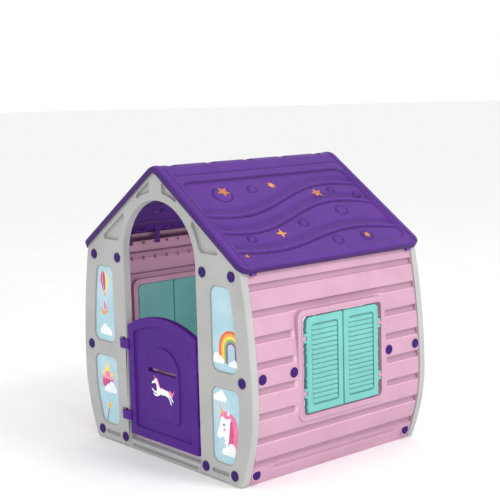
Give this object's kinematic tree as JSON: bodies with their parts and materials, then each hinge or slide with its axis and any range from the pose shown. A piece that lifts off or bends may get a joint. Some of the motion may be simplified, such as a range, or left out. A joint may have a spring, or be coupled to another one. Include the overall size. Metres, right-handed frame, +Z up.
{
  "type": "playhouse",
  "caption": "Plastic garden playhouse with a pitched roof, clapboard side walls, arched doorways, a swinging door, a picket gate and louvred window shutters.",
  "frame": {"origin": "on the floor at the middle of the house's footprint", "axes": "+Z up, the gable with the door faces -Y, the picket gate faces +Y, the shuttered windows face +X and -X"},
  "size_m": [1.0198, 0.89, 1.09],
  "materials": {
    "grey_plastic": "satin moulded",
    "pink_plastic": "satin moulded",
    "purple_plastic": "satin moulded",
    "deep_purple_plastic": "satin moulded",
    "teal_plastic": "satin moulded",
    "brown_plastic": "satin moulded",
    "sticker_film": "printed gloss film",
    "gold_film": "printed gloss film"
  },
  "bodies": {
    "house": {"gable_front": "grey_plastic", "gable_back": "grey_plastic", "side_wall_left": "pink_plastic", "side_wall_right": "pink_plastic", "roof_left": "purple_plastic", "roof_right": "purple_plastic", "threshold": "grey_plastic", "gate_sill": "grey_plastic", "door_hinge_pins": "grey_plastic", "gate_hinge_pins": "grey_plastic", "shutter_pins_left": "teal_plastic", "shutter_pins_right": "teal_plastic", "bolts_front": "deep_purple_plastic", "bolts_back": "deep_purple_plastic", "bolts_left": "deep_purple_plastic", "bolts_right": "deep_purple_plastic", "nuts_front": "deep_purple_plastic", "nuts_back": "deep_purple_plastic", "nuts_left": "deep_purple_plastic", "nuts_right": "deep_purple_plastic", "ridge_screws": "deep_purple_plastic", "eave_clips_left": "purple_plastic", "eave_clips_right": "purple_plastic", "bracket_front_left": "pink_plastic", "bracket_front_right": "pink_plastic", "bracket_back_left": "pink_plastic", "bracket_back_right": "pink_plastic", "stickers_front": "sticker_film", "stickers_back": "sticker_film", "roof_stars_left": "gold_film", "roof_stars_right": "gold_film"},
    "door": {"door": "purple_plastic", "door_sticker": "sticker_film"},
    "gate": {"gate": "brown_plastic"},
    "shutter_left_front": {"shutter_left_front": "teal_plastic"},
    "shutter_left_back": {"shutter_left_back": "teal_plastic"},
    "shutter_right_front": {"shutter_right_front": "teal_plastic"},
    "shutter_right_back": {"shutter_right_back": "teal_plastic"}
  },
  "joints": [
    {"name": "door_hinge", "type": "hinge", "parent": "house", "child": "door", "pos_m": [-0.249, -0.432, 0.3], "axis": [0, 0, -1], "range_deg": [0, 100]},
    {"name": "gate_hinge", "type": "hinge", "parent": "house", "child": "gate", "pos_m": [-0.203, 0.421, 0.3], "axis": [0, 0, 1], "range_deg": [0, 100]},
    {"name": "shutter_right_back_hinge", "type": "hinge", "parent": "house", "child": "shutter_right_back", "pos_m": [0.501, 0.187, 0.3], "axis": [0, 0, 1], "range_deg": [0, 105]},
    {"name": "shutter_right_front_hinge", "type": "hinge", "parent": "house", "child": "shutter_right_front", "pos_m": [0.501, -0.187, 0.3], "axis": [0, 0, -1], "range_deg": [0, 105]},
    {"name": "shutter_left_back_hinge", "type": "hinge", "parent": "house", "child": "shutter_left_back", "pos_m": [-0.501, 0.187, 0.3], "axis": [0, 0, -1], "range_deg": [0, 105]},
    {"name": "shutter_left_front_hinge", "type": "hinge", "parent": "house", "child": "shutter_left_front", "pos_m": [-0.501, -0.187, 0.3], "axis": [0, 0, 1], "range_deg": [0, 105]}
  ]
}
